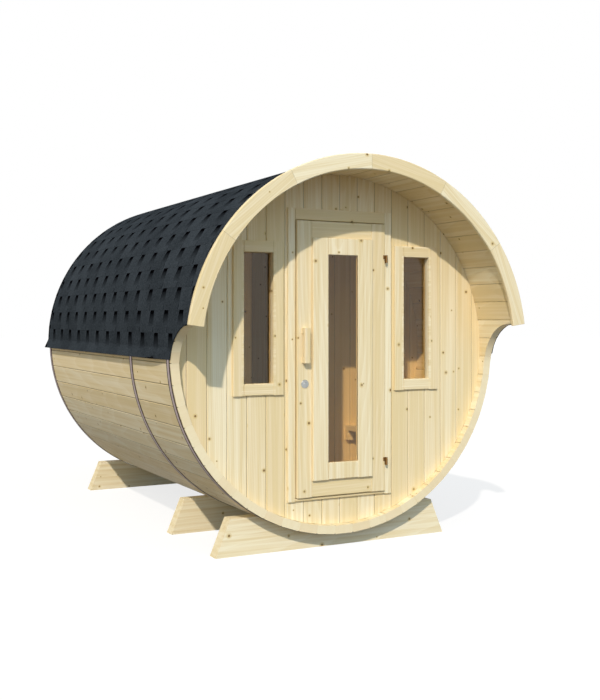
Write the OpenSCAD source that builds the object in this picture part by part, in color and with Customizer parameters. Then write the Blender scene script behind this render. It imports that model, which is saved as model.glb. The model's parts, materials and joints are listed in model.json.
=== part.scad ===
// Barrel sauna with a porch, a vestibule and a shingled roof, in millimetres.
// X runs to the right, Y to the rear and Z up; the ground is Z = 0, and the
// origin lies under the middle of the barrel's whole length.

/* [Barrel] */
// Outer diameter across opposite staves
barrel_d = 2000; // [1800:10:2300]
// Length of the barrel without its porch
barrel_l = 2475; // [1900:5:3600]
// Number of staves round the barrel
stave_count = 56; // [48:4:64]
// Thickness of the staves
stave_t = 46; // [38:1:56]
// Bevel along the outer edges of a stave
stave_bevel = 4; // [1:0.5:8]
// Bevel along the inner edges of a stave
stave_inner_bevel = 2.5; // [1:0.5:6]
// Clearance between the ground and the lowest stave
ground_gap = 80; // [60:5:120]

/* [Porch] */
// Radius of the round cut on either side of the porch
cut_r = 240; // [190:5:270]
// How far the porch runs on ahead of the round cut
cut_flat = 30; // [15:1:60]
// Depth below the barrel's axis at which the porch cut starts
cut_drop = 100; // [70:5:130]
// How far the lower staves stand ahead of the front wall
rim_depth = 45; // [30:1:80]

/* [Arch] */
// Thickness of the arch boards
arch_t = 20; // [16:1:45]
// Radial width of the arch boards
arch_w = 82; // [70:1:120]
// How far the arch stands out past the staves
arch_lip = 24; // [16:1:40]
// Number of boards in the arch
arch_pieces = 6; // [4:1:8]
// Bevel along the front edges of the arch
arch_bevel = 4; // [1:0.5:8]
// How far the arch ends hang below the porch cut
arch_drop = 5; // [0:1:20]

/* [Roof] */
// Thickness of the shingle roof
shingle_t = 5; // [4:0.5:12]
// How far the roof runs on past the rear ends of the staves
roof_over = 32; // [10:1:60]
// Depth of the eaves below the barrel's axis
eave_drop = 38; // [20:1:50]
// How far the eaves kick outwards
eave_flare = 27; // [12:1:36]
// Length over which the kick of the eaves dies out towards the porch
eave_taper = 220; // [120:10:400]
// Height of the lath under the eaves
lath_h = 58; // [40:1:80]

/* [Bands] */
// Width of a steel band
band_w = 45; // [25:1:60]
// Thickness of a steel band
band_t = 1.5; // [1:0.25:3]
// Distance of the front band behind the front rim
band_inset = 8; // [2:1:20]
// Distance of the middle band's front edge behind the front wall's face
band_middle = 558; // [300:1:640]

/* [Cradles] */
// Thickness of a cradle
cradle_t = 80; // [45:1:90]
// Height of a cradle at its shoulders
cradle_h = 198; // [180:1:240]
// Width of a cradle on the ground
cradle_base_w = 1434; // [1360:2:1600]
// Width of a cradle across its shoulders
cradle_top_w = 1270; // [1230:2:1320]
// Distance of the front cradle behind the front wall's face
cradle_front = 45; // [20:1:120]
// Distance of the middle cradle behind the front wall's face
cradle_middle = 700; // [660:1:900]

/* [Walls] */
// Thickness of the walls
wall_t = 42; // [36:1:50]
// Width of a wall board
board_w = 112; // [90:1:140]
// Bevel along the edges of a wall board
board_bevel = 4; // [1:0.5:8]
// Distance from the front wall's face to the partition's face
vestibule_l = 650; // [620:5:900]
// Width of the doorway in the partition
inner_doorway_w = 474; // [420:2:600]

/* [Floor and bench] */
// Height of the floor above the bottom stave
floor_rise = 154; // [130:1:200]
// Thickness of the floor boards
floor_t = 28; // [20:1:36]
// Number of floor boards side by side
floor_count = 10; // [6:1:12]
// Distance of the floor bearers from the walls
bearer_inset = 60; // [20:5:120]
// Thickness of the floor bearers
bearer_t = 45; // [30:1:60]
// Height of the bench seat above the floor
bench_h = 303; // [250:1:450]
// Distance of the bench's front edge from the middle of the room
bench_x = 410; // [330:5:500]
// Thickness of the bench slats
bench_t = 30; // [20:1:40]
// Number of bench slats
bench_count = 4; // [3:1:6]
// Gap between the bench slats
bench_gap = 6; // [3:1:15]
// Height of the cleats under the bench
cleat_h = 60; // [40:1:90]
// Thickness of the cleats under the bench
cleat_t = 30; // [20:1:45]

/* [Door] */
// Width of the door leaf
door_w = 552; // [480:2:620]
// Clear wall between the upper corners of the door casing and the staves
head_space = 127; // [80:1:180]
// Height of the door leaf's lower edge above the floor
door_lift = 8; // [6:1:20]
// Thickness of the stiles and rails
door_t = 35; // [28:1:45]
// Running gap round the door leaf
door_gap = 5; // [5:0.5:8]
// Width of the stiles and rails
stile_w = 89; // [70:1:110]
// How far the middle panel stands proud of the stiles
panel_proud = 16; // [8:1:24]
// Thickness of the middle panel
panel_t = 26; // [24:1:40]
// Width of the panel boards beside the glass
panel_side = 94; // [70:1:120]
// Width of the panel boards above and below the glass
panel_end = 91; // [70:1:140]
// Depth of the step in the wall that takes the back of the leaf
rebate_t = 15; // [10:1:22]
// How far the leaf laps over the edges of the doorway
door_lap = 12; // [8:1:20]
// Thickness of the glass panes
glass_t = 6; // [4:1:10]
// Depth of the door's pane behind the panel's face
glass_set = 5; // [3:1:12]

/* [Casings] */
// Thickness of the casing boards
casing_t = 13; // [10:1:18]
// Width of the door casing at the sides
door_casing_w = 44; // [36:1:70]
// Height of the door casing's head board
door_head_h = 62; // [40:1:80]
// Height of the door casing's sill strip
door_sill_h = 14; // [8:1:18]
// Width of the window casing boards
window_casing_w = 61; // [50:1:75]
// Bevel along the front edges of casings, door boards and handle
trim_bevel = 3; // [1:0.5:5]

/* [Windows] */
// Width of a window pane
window_w = 170; // [120:2:200]
// Height of the window panes above the floor
window_sill = 625; // [560:1:700]
// Height of the door leaf's upper edge above the window panes
window_drop = 177; // [120:1:260]
// Space between the door casing and a window casing
window_space = 25; // [10:1:50]
// Thickness of the lining boards round a window pane
lining_t = 15; // [10:1:20]
// Depth of a window pane behind the wall's face
pane_depth = 24; // [10:1:30]

/* [Handle and hinges] */
// Width of the pull handle
handle_w = 34; // [24:1:44]
// Length of the pull handle
handle_l = 188; // [140:2:260]
// Thickness of the pull handle's bar
handle_t = 20; // [14:1:28]
// Finger room behind the pull handle
handle_gap = 17; // [15:1:40]
// Length of the blocks that carry the pull handle
handle_block = 30; // [20:1:45]
// Height of the handle's middle above the door's lower edge
handle_z = 816; // [700:1:950]
// Diameter of the latch rosette
rosette_d = 45; // [30:1:60]
// Depth of the latch rosette
rosette_t = 7; // [4:0.5:12]
// Height of the latch rosette above the door's lower edge
rosette_z = 610; // [500:1:660]
// Diameter of a hinge knuckle
knuckle_d = 14; // [10:1:18]
// Length of half a hinge knuckle
knuckle_h = 21; // [15:1:40]
// Thickness of the hinge plates
hinge_plate_t = 2.5; // [1.5:0.5:4]
// Width of the hinge plate on the leaf
hinge_plate_w = 12; // [8:1:30]
// Height of the lower hinge above the leaf's lower edge
hinge_low = 165; // [110:1:260]
// Depth of the upper hinge below the leaf's upper edge
hinge_high = 193; // [110:1:260]

/* [Hidden] */
$fn = 96;
// Joint between like pieces, and seat between pieces that rest on one another
joint = 0.3;
seat = 0.3;
spruce = "#e8d2a2";
spruce_dark = "#d9bd86";
bitumen = "#2b3038";
steel = "#8f8a8c";
bronze_glass = "#8a6a45";
brass = "#8d7248";
nickel = "#c9cacb";

barrel_r = barrel_d / 2;
room_r = barrel_r - stave_t;
axis_z = ground_gap + barrel_r;
overhang = cut_r + cut_flat;
overall_l = arch_t + overhang + barrel_l + roof_over;

arch_front_y = -overall_l / 2;
porch_y = arch_front_y + arch_t;
rim_y = porch_y + overhang;
cut_y = porch_y + cut_flat;
tail_y = rim_y + barrel_l;
roof_end_y = tail_y + roof_over;
front_wall_y = rim_y + rim_depth;
rear_wall_y = tail_y - rim_depth - wall_t;
partition_y = front_wall_y + vestibule_l;

stave_angle = 360 / stave_count;
stave_quarter = stave_count / 4;
stave_corner_r = norm([barrel_r, stave_half(barrel_r) - stave_bevel]);
cut_z = axis_z - cut_drop;
cut_above = floor(asin((cut_r - cut_drop) / barrel_r) / stave_angle + 0.5);
cut_below = floor(asin(cut_drop / barrel_r) / stave_angle + 0.5);
bottom_span = floor(stave_quarter / 3);

band_r = stave_corner_r + seat;
roof_r = band_r + band_t + seat;
roof_out = roof_r + shingle_t;
arch_out = barrel_r + arch_lip;
arch_start = asin((cut_r - cut_drop - arch_drop) / barrel_r);
arch_step = (180 - 2 * arch_start) / arch_pieces;
kick_z = lath_h - eave_drop;
eave_y = cut_y + sqrt(pow(cut_r, 2) - pow(cut_drop - eave_drop, 2));
wide = 2 * (arch_out + eave_flare);

wall_r = room_r - seat;
floor_z = ground_gap + stave_t + floor_rise;
floor_half = sqrt(pow(room_r, 2) - pow(axis_z - floor_z + floor_t, 2)) - seat;
bench_z = floor_z + bench_h;
bench_end = sqrt(pow(room_r, 2) - pow(axis_z - bench_z + bench_t, 2)) - seat;

leaf_z = floor_z + door_lift;
casing_half = door_w / 2 + door_gap;
casing_top = axis_z + sqrt(pow(wall_r - head_space, 2) - pow(casing_half + door_casing_w, 2));
door_h = casing_top - door_head_h - door_gap - leaf_z;
leaf_back_y = front_wall_y + rebate_t - door_gap;
leaf_front_y = leaf_back_y - door_t;
panel_front_y = leaf_front_y - panel_proud;
doorway_half = door_w / 2 - door_lap;
doorway_low = leaf_z + door_lap;
doorway_high = leaf_z + door_h - door_lap;
inner_half = inner_doorway_w / 2;
hinge_x = casing_half;
hinge_y = leaf_front_y - knuckle_d / 2 - seat;
handle_x = -(door_w - stile_w) / 2 + seat;
pane_near = casing_half + door_casing_w + window_space + window_casing_w;
pane_far = pane_near + window_w;
pane_low = floor_z + window_sill;
pane_high = leaf_z + door_h - window_drop;
window_near = pane_near - lining_t;
window_far = pane_far + lining_t;
window_low = pane_low - lining_t;
window_high = pane_high + lining_t;

// Half the width of a stave at a radius, less half the joint
function stave_half(r) = r * tan(stave_angle / 2) - joint / 2 / cos(stave_angle / 2);

// Cross-section of one stave lying to the right of the axis
module stave_section() {
    outer_face = stave_half(barrel_r) - stave_bevel;
    outer_side = stave_half(barrel_r - stave_bevel);
    inner_side = stave_half(room_r + stave_inner_bevel);
    inner_face = stave_half(room_r) - stave_inner_bevel;
    half = [
        [room_r, inner_face], [room_r + stave_inner_bevel, inner_side],
        [barrel_r - stave_bevel, outer_side], [barrel_r, outer_face]
    ];
    polygon(concat(half, [for (i = [3:-1:0]) [half[i][0], -half[i][1]]]));
}

// Sections drawn in X and Z, run along the barrel from one Y to another
module run(from_y, to_y) {
    translate([0, to_y, 0]) rotate([90, 0, 0]) linear_extrude(to_y - from_y) children();
}

// Staves of a range of places round the barrel, from the right side upwards
module staves(first, last, from_y) {
    for (place = [first:last])
        run(from_y, tail_y) translate([0, axis_z]) rotate(place * stave_angle) stave_section();
}

// What the porch cut takes away on both sides of the barrel
module porch_cut() {
    translate([-wide / 2, cut_y, cut_z]) rotate([0, 90, 0]) cylinder(r = cut_r, h = wide);
    translate([-wide / 2, arch_front_y, 0]) cube([wide, cut_y - arch_front_y, cut_z + cut_r]);
    translate([-wide / 2, arch_front_y, 0]) cube([wide, rim_y - arch_front_y, cut_z]);
}

module cut_staves(first, last) {
    difference() {
        staves(first, last, porch_y);
        porch_cut();
    }
}

// A solid disc across the barrel's inside
module room_disc(from_y, to_y, r) {
    translate([0, to_y, axis_z]) rotate([90, 0, 0]) cylinder(r = r, h = to_y - from_y);
}

// One upright board from x0 to x1, bevelled on its face where it meets the next board
module wall_board(face_y, x0, x1, z0, z1) {
    bevel0 = is_joint(x0) ? board_bevel : 0;
    bevel1 = is_joint(x1) ? board_bevel : 0;
    left = x0 + joint / 2;
    right = x1 - joint / 2;
    outline = concat(
        bevel0 > 0 ? [[left, face_y + bevel0], [left + bevel0, face_y]] : [[left, face_y]],
        bevel1 > 0 ? [[right - bevel1, face_y], [right, face_y + bevel1]] : [[right, face_y]],
        [[right, face_y + wall_t], [left, face_y + wall_t]]
    );
    translate([0, 0, z0]) linear_extrude(z1 - z0) polygon(outline);
}

function is_joint(x) = abs(x / board_w - round(x / board_w)) < 0.001;

// Edges of the boards that fill the stretch from x0 to x1
function board_edges(x0, x1) = concat(
    [x0],
    [for (i = [floor(x0 / board_w) + 1:ceil(x1 / board_w) - 1]) i * board_w],
    [x1]
);

// A field of upright boards, cut to the round of the barrel
module board_field(face_y, x0, x1, z0, z1) {
    edges = board_edges(x0, x1);
    intersection() {
        room_disc(face_y, face_y + wall_t, wall_r);
        union() {
            for (i = [0:len(edges) - 2])
                wall_board(face_y, edges[i], edges[i + 1], z0, z1);
        }
    }
}

wall_low = axis_z - wall_r;
wall_high = axis_z + wall_r;

// The step round the doorway that takes the back of the door leaf
module rebate() {
    translate([-casing_half, front_wall_y - seat, leaf_z - door_gap])
        cube([2 * casing_half, rebate_t + seat, door_h + 2 * door_gap]);
}

// The right half of the front wall beside the door, round its window
module front_wall_side() {
    difference() {
        board_field(front_wall_y, doorway_half, window_near, wall_low, wall_high);
        rebate();
    }
    board_field(front_wall_y, window_near, window_far, wall_low, window_low);
    board_field(front_wall_y, window_near, window_far, window_high, wall_high);
    board_field(front_wall_y, window_far, wall_r, wall_low, wall_high);
}

module front_wall_right() { color(spruce) front_wall_side(); }
module front_wall_left() { color(spruce) mirror([1, 0, 0]) front_wall_side(); }

module front_wall_over_door() {
    color(spruce) difference() {
        board_field(front_wall_y, -doorway_half, doorway_half, doorway_high, wall_high);
        rebate();
    }
}

module front_wall_under_door() {
    color(spruce) difference() {
        board_field(front_wall_y, -doorway_half, doorway_half, wall_low, doorway_low);
        rebate();
    }
}

module partition_right() {
    color(spruce) board_field(partition_y, inner_half, wall_r, wall_low, wall_high);
}

module partition_left() { mirror([1, 0, 0]) partition_right(); }

module partition_over_doorway() {
    color(spruce) board_field(partition_y, -inner_half, inner_half, doorway_high, wall_high);
}

module partition_under_doorway() {
    color(spruce) board_field(partition_y, -inner_half, inner_half, wall_low, floor_z);
}

module rear_wall() {
    color(spruce)
        translate([0, 2 * rear_wall_y + wall_t, 0]) mirror([0, 1, 0])
            board_field(rear_wall_y, -wall_r, wall_r, wall_low, wall_high);
}

module bottom_staves() {
    first = 3 * stave_quarter - bottom_span;
    color(spruce) staves(first, first + 2 * bottom_span, rim_y);
}

module right_side_staves() {
    color(spruce) staves(3 * stave_quarter + bottom_span + 1, stave_count - cut_below - 1, rim_y);
}

module left_side_staves() { mirror([1, 0, 0]) right_side_staves(); }

module right_cut_staves() { color(spruce) cut_staves(-cut_below, cut_above); }
module left_cut_staves() { mirror([1, 0, 0]) right_cut_staves(); }

module right_roof_staves() { color(spruce) staves(cut_above + 1, stave_quarter - 1, porch_y); }
module left_roof_staves() { mirror([1, 0, 0]) right_roof_staves(); }
module ridge_stave() { color(spruce) staves(stave_quarter, stave_quarter, porch_y); }

// A trapezoid board with a round seat for the barrel or for a band
module cradle(from_y, seat_r) {
    color(spruce_dark) run(from_y, from_y + cradle_t) difference() {
        polygon([
            [-cradle_base_w / 2, 0], [cradle_base_w / 2, 0],
            [cradle_top_w / 2, cradle_h], [-cradle_top_w / 2, cradle_h]
        ]);
        translate([0, axis_z]) circle(r = seat_r + seat);
    }
}

module cradle_front() { cradle(front_wall_y + cradle_front, stave_corner_r); }
module cradle_middle() { cradle(front_wall_y + cradle_middle, stave_corner_r); }
module cradle_rear() { cradle(roof_end_y - cradle_t, band_r + band_t); }

// Arch boards from one end of the porch cut to the other, bevelled in front
module front_arch() {
    inner = arch_out - arch_w;
    slit = joint / arch_out * 180 / PI;
    color(spruce) for (i = [0:arch_pieces - 1])
        translate([0, porch_y, axis_z]) rotate([90, 0, 0])
            rotate(arch_start + i * arch_step) rotate_extrude(angle = arch_step - slit, $fn = 180)
                polygon([
                    [inner, seat], [arch_out, seat], [arch_out, arch_t - arch_bevel],
                    [arch_out - arch_bevel, arch_t], [inner + arch_bevel, arch_t],
                    [inner, arch_t - arch_bevel]
                ]);
}

// A flat steel hoop round the staves
module band(from_y) {
    color(steel) run(from_y, from_y + band_w) translate([0, axis_z]) difference() {
        circle(r = band_r + band_t, $fn = 180);
        circle(r = band_r, $fn = 180);
    }
}

module band_front() { band(rim_y + band_inset); }
module band_middle_ring() { band(front_wall_y + band_middle); }
module band_rear() { band(tail_y - band_w); }

// Section of the right half of the roof above the kick of the eave
module roof_ring() {
    intersection() {
        difference() {
            circle(r = roof_out, $fn = 180);
            circle(r = roof_r, $fn = 180);
        }
        translate([joint / 2, kick_z - shingle_t / 2]) square([roof_out, roof_out]);
    }
}

// Plan of the eave, whose kick dies out towards the porch
module eave_plan(face) {
    translate([0, 0, axis_z - lath_h]) linear_extrude(2 * lath_h) polygon([
        [0, arch_front_y], [face, arch_front_y], [face, eave_y],
        [face + 2 * eave_flare, eave_y + 2 * eave_taper],
        [face + 2 * eave_flare, 2 * roof_end_y], [0, 2 * roof_end_y]
    ]);
}

// Room behind a face of the eave, which kicks outwards below the ring
module eave_room(face, spare) {
    low = -eave_drop - spare;
    intersection() {
        run(porch_y + seat - spare, roof_end_y + spare) translate([0, axis_z]) polygon([
            [roof_r - spare, kick_z], [face, kick_z],
            [face + eave_flare * (kick_z - low) / lath_h, low], [roof_r - spare, low]
        ]);
        eave_plan(face);
    }
}

module roof_right() {
    color(bitumen) difference() {
        union() {
            run(porch_y + seat, roof_end_y) translate([0, axis_z]) roof_ring();
            difference() {
                eave_room(roof_out, 0);
                eave_room(roof_r, shingle_t);
            }
        }
        porch_cut();
    }
}

module roof_left() { mirror([1, 0, 0]) roof_right(); }

// The wedge of wood that carries the kick of the eave
module right_eave_lath() {
    top_z = kick_z - lath_h / 3;
    color(spruce_dark) intersection() {
        run(eave_y + eave_taper / 4, roof_end_y) translate([0, axis_z])
            polygon([
                [roof_r, top_z], [roof_r, -eave_drop], [roof_r + eave_flare - seat, -eave_drop],
                [roof_r + eave_flare / 3 - seat, top_z]
            ]);
        eave_plan(roof_r - seat);
    }
}

module left_eave_lath() { mirror([1, 0, 0]) right_eave_lath(); }

// Bearers with a round underside that lie on the bottom staves
module floor_bearers() {
    vestibule_in = front_wall_y + wall_t;
    room_in = partition_y + wall_t;
    places = [
        vestibule_in + bearer_inset, partition_y - bearer_inset - bearer_t,
        room_in + bearer_inset, (room_in + rear_wall_y - bearer_t) / 2,
        rear_wall_y - bearer_inset - bearer_t
    ];
    color(spruce_dark) for (y = places)
        intersection() {
            room_disc(y, y + bearer_t, wall_r);
            translate([-room_r, y, 0]) cube([2 * room_r, bearer_t, floor_z - floor_t - seat]);
        }
}

// Floor boards that run from wall to wall in each room
module floor_boards() {
    pitch = 2 * floor_half / floor_count;
    rooms = [[front_wall_y + wall_t, partition_y], [partition_y + wall_t, rear_wall_y]];
    color(spruce) for (room = rooms, i = [0:floor_count - 1])
        translate([-floor_half + i * pitch + joint / 2, room[0] + seat, floor_z - floor_t])
            cube([pitch - joint, room[1] - room[0] - 2 * seat, floor_t]);
}

// Cleats on the front wall and the partition that carry the bench
module bench_cleats() {
    under_z = bench_z - bench_t - seat;
    color(spruce_dark) for (y = [front_wall_y + wall_t + seat, partition_y - cleat_t - seat])
        intersection() {
            room_disc(y, y + cleat_t, wall_r);
            translate([bench_x, y, under_z - cleat_h]) cube([room_r, cleat_t, cleat_h]);
        }
}

module bench_seat() {
    slat = (bench_end - bench_x - (bench_count - 1) * bench_gap) / bench_count;
    color(spruce) for (i = [0:bench_count - 1])
        translate([
            bench_x + i * (slat + bench_gap), front_wall_y + wall_t + seat, bench_z - bench_t
        ])
            cube([slat, vestibule_l - wall_t - 2 * seat, bench_t]);
}

// An upright board with bevelled front edges
module upright(x0, x1, z0, z1, y, t, bevel) {
    translate([0, 0, z0]) linear_extrude(z1 - z0) polygon([
        [x0, y + t], [x0, y + bevel], [x0 + bevel, y],
        [x1 - bevel, y], [x1, y + bevel], [x1, y + t]
    ]);
}

// A level board with bevelled front edges
module level(x0, x1, z0, z1, y, t, bevel) {
    translate([x0, 0, 0]) rotate([90, 0, 90]) linear_extrude(x1 - x0) polygon([
        [y + t, z0], [y + bevel, z0], [y, z0 + bevel],
        [y, z1 - bevel], [y + bevel, z1], [y + t, z1]
    ]);
}

// Four boards round an opening in X and Z, the level ones between the uprights
module frame_boards(x0, x1, z0, z1, side, top, bottom, y, t, bevel = trim_bevel) {
    upright(x0 - side, x0, z0 - bottom, z1 + top, y, t, bevel);
    upright(x1, x1 + side, z0 - bottom, z1 + top, y, t, bevel);
    level(x0 + joint, x1 - joint, z1, z1 + top, y, t, bevel);
    level(x0 + joint, x1 - joint, z0 - bottom, z0, y, t, bevel);
}

module door_casing() {
    color(spruce) frame_boards(
        -casing_half, casing_half, leaf_z - door_gap, leaf_z + door_h + door_gap,
        door_casing_w, door_head_h, door_sill_h, front_wall_y - casing_t - seat, casing_t
    );
}

module right_window_casing() {
    color(spruce) frame_boards(
        pane_near, pane_far, pane_low, pane_high, window_casing_w, window_casing_w,
        window_casing_w, front_wall_y - casing_t - seat, casing_t
    );
}

module left_window_casing() { mirror([1, 0, 0]) right_window_casing(); }

// Boards that line the opening behind the casing
module right_window_lining() {
    color(spruce) frame_boards(
        pane_near, pane_far, pane_low, pane_high, lining_t - seat, lining_t - seat,
        lining_t - seat, front_wall_y, wall_t
    );
}

module left_window_lining() { mirror([1, 0, 0]) right_window_lining(); }

module right_window_glass() {
    color(bronze_glass, 0.6)
        translate([pane_near + seat, front_wall_y + pane_depth, pane_low + seat])
            cube([window_w - 2 * seat, glass_t, pane_high - pane_low - 2 * seat]);
}

module left_window_glass() { mirror([1, 0, 0]) right_window_glass(); }

// Stiles over the leaf's full height, with a rail between them at each end
module door_frame() {
    half = door_w / 2 - stile_w;
    color(spruce) frame_boards(
        -half, half, leaf_z + stile_w, leaf_z + door_h - stile_w,
        stile_w, stile_w, stile_w, leaf_front_y, door_t
    );
}

// Raised boards round the glass, fitted between the stiles and rails
module door_panel() {
    half = door_w / 2 - stile_w - seat - panel_side;
    color(spruce) frame_boards(
        -half, half, leaf_z + stile_w + seat + panel_end, leaf_z + door_h - stile_w - seat - panel_end,
        panel_side, panel_end, panel_end, panel_front_y, panel_t
    );
}

module door_glass() {
    half = door_w / 2 - stile_w - panel_side - 2 * seat;
    inset = stile_w + panel_end + 2 * seat;
    color(bronze_glass, 0.6)
        translate([-half, panel_front_y + glass_set, leaf_z + inset])
            cube([2 * half, glass_t, door_h - 2 * inset]);
}

// A wooden bar on two blocks
module door_handle() {
    left = handle_x - handle_w / 2;
    right = handle_x + handle_w / 2;
    low = leaf_z + handle_z - handle_l / 2;
    high = low + handle_l;
    block_y = leaf_front_y - handle_gap;
    color(spruce_dark) {
        upright(left, right, low, high, block_y - seat - handle_t, handle_t, trim_bevel);
        for (z = [low, high - handle_block])
            translate([left, block_y, z]) cube([handle_w, handle_gap - seat, handle_block]);
    }
}

// A round metal cover with a stepped middle
module door_rosette() {
    lip = rosette_t / 3;
    color(nickel) translate([handle_x, leaf_front_y - seat, leaf_z + rosette_z]) rotate([90, 0, 0])
        rotate_extrude() polygon([
            [0, 0], [rosette_d / 2, 0], [rosette_d / 2, lip], [rosette_d / 2 - lip, 2 * lip],
            [rosette_d / 4, 2 * lip], [rosette_d / 4 - lip, rosette_t], [0, rosette_t]
        ]);
}

hinge_heights = [leaf_z + hinge_low, leaf_z + door_h - hinge_high];

// Lower knuckles, with a neck back to the casing
module hinge_fixed_halves() {
    color(brass) for (z = hinge_heights)
        translate([hinge_x, hinge_y, z - knuckle_h]) {
            cylinder(d = knuckle_d, h = knuckle_h);
            cube([knuckle_d / 2, front_wall_y - casing_t - 2 * seat - hinge_y, knuckle_h]);
        }
}

// Upper knuckles, with a plate on the face of the leaf
module hinge_door_halves() {
    plate_right = door_w / 2;
    color(brass) for (z = hinge_heights)
        translate([0, 0, z + seat]) {
            translate([hinge_x, hinge_y, 0]) cylinder(d = knuckle_d, h = knuckle_h);
            translate([plate_right - hinge_plate_w, leaf_front_y - seat - hinge_plate_t, 0])
                cube([hinge_plate_w + door_gap, hinge_plate_t, knuckle_h]);
        }
}

cradle_front();
cradle_middle();
cradle_rear();
bottom_staves();
left_side_staves();
right_side_staves();
left_cut_staves();
right_cut_staves();
left_roof_staves();
right_roof_staves();
ridge_stave();
front_wall_left();
front_wall_right();
front_wall_over_door();
front_wall_under_door();
partition_left();
partition_right();
partition_over_doorway();
partition_under_doorway();
rear_wall();
floor_bearers();
floor_boards();
bench_cleats();
bench_seat();
front_arch();
band_front();
band_middle_ring();
band_rear();
roof_left();
roof_right();
left_eave_lath();
right_eave_lath();
door_casing();
left_window_casing();
right_window_casing();
left_window_lining();
right_window_lining();
left_window_glass();
right_window_glass();
hinge_fixed_halves();
door_frame();
door_panel();
door_glass();
door_handle();
door_rosette();
hinge_door_halves();
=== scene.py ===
"""Looks of a barrel sauna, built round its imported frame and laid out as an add-on."""

import json
import math

import bmesh
import bpy
from bpy.props import FloatProperty, FloatVectorProperty, IntProperty, PointerProperty, StringProperty
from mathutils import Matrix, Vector


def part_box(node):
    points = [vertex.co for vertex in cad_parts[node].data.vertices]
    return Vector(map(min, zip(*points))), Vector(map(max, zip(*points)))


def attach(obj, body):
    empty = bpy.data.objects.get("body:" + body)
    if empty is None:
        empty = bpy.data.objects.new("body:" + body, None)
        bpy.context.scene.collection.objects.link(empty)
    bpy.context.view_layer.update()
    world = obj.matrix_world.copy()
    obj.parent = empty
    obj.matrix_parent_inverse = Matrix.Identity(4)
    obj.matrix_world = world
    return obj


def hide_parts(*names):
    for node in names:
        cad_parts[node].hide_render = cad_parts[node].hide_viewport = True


bl_info = {
    "name": "Barrel Sauna",
    "version": (1, 0, 0),
    "blender": (4, 5, 0),
    "location": "View3D > Sidebar > Sauna",
    "description": "Shingles, spruce, glass, metal and a studio stage for a barrel sauna",
    "category": "Object",
}

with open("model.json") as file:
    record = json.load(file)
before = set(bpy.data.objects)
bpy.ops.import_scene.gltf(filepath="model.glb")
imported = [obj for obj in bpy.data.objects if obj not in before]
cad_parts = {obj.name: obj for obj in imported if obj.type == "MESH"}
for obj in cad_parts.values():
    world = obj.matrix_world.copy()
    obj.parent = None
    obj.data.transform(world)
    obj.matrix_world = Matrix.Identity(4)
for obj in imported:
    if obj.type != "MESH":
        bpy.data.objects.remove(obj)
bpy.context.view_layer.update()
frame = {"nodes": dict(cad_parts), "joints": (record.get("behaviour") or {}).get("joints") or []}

# Places that everything else is measured from, in metres
AXIS_Z = (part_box("band_front")[0].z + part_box("band_front")[1].z) / 2
BAND_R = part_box("band_front")[1].z - AXIS_Z
ROOF_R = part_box("roof_left")[1].z - AXIS_Z
WALL_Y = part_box("front_wall_left")[0].y
PORCH_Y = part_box("ridge_stave")[0].y
RIM_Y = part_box("bottom_staves")[0].y
EAVE_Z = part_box("roof_left")[0].z
EAVE_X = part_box("roof_right")[1].x
CASING_HALF = frame["joints"][0]["pos_m"][0]
# Between these two radii a stave's joint is closed, so that its sawn end shows no dark line. The
# first lies 0.8 mm inside the inner face, and the second 3 mm under the outer face
JOINT_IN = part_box("ridge_stave")[0].z - AXIS_Z - 0.0008
JOINT_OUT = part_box("ridge_stave")[1].z - AXIS_Z - 0.003
# Depth of the arch's middle line under the roof's face
ARCH_MIDDLE = 0.07
# The round porch cut: its radius, and the height of its middle above the barrel's axis
CUT_R = 0.240
CUT_Z = -0.100
# The kick of the eaves: its height above the barrel's axis, and where it is back at its full
# width after dying out towards the porch
KICK_Z = 0.020
KICK_START = RIM_Y - CUT_R + math.sqrt(CUT_R ** 2 - (EAVE_Z - AXIS_Z - CUT_Z) ** 2)
KICK_FULL = KICK_START + 0.220
KICK_FOLDS = [KICK_START + (KICK_FULL - KICK_START) * i / 8 for i in range(1, 9)]
# Gaps that keep touching pieces apart, at the arch and over the bands, and the least width of a shingle
SEAT = 0.0006
BAND_GAP = 0.0004
LEAST_WIDTH = 0.001
# Rows of points in the underlay, in a tab, in the part of it beside a slit, and in the head of a
# shingle under the next course; and the number of flats in a bent ridge cap
UNDERLAY_ROWS = 140
TAB_ROWS = 12
SLIT_ROWS = 4
HEAD_ROWS = 22
CAP_FLATS = 10
# What shows in a slot is painted shade: it is black above this share of a course, a painted shadow of
# the next course; at most this dark below it, a painted shadow fading out, partly a printed dark band;
# and this dark in the slit, painted shade, which starts this far under the slot's foot
PAINTED_SHADOW_FROM = 0.84
SLOT_PAINTED_SHADE = 0.85
SLIT_PAINTED_SHADE = 0.95
SLIT_GAP = 0.06


def linear(hex_colour):
    """Turns an sRGB hex value such as "e9d9b0" into linear red, green, blue and alpha."""
    values = []
    for start in (0, 2, 4):
        share = int(hex_colour[start:start + 2], 16) / 255
        values.append(share / 12.92 if share <= 0.04045 else ((share + 0.055) / 1.055) ** 2.4)
    return (*values, 1.0)


def add_node(tree, kind, inputs=None, out=0, **settings):
    """Adds a node with its settings; an input takes a value or a socket. Returns one output."""
    node = tree.nodes.new(kind)
    for name, value in settings.items():
        setattr(node, name, value)
    for key, value in (inputs or {}).items():
        if isinstance(value, bpy.types.NodeSocket):
            tree.links.new(value, node.inputs[key])
        else:
            node.inputs[key].default_value = value
    return node.outputs[out] if len(node.outputs) else node


def new_material(name):
    """An empty material with a node tree, seen by name in the file."""
    material = bpy.data.materials.new(name)
    material.use_nodes = True
    material.node_tree.nodes.clear()
    return material


def dress(material, *nodes):
    """Puts a material on CAD nodes."""
    for name in nodes:
        slots = frame["nodes"][name].data.materials
        slots.clear()
        slots.append(material)


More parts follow.
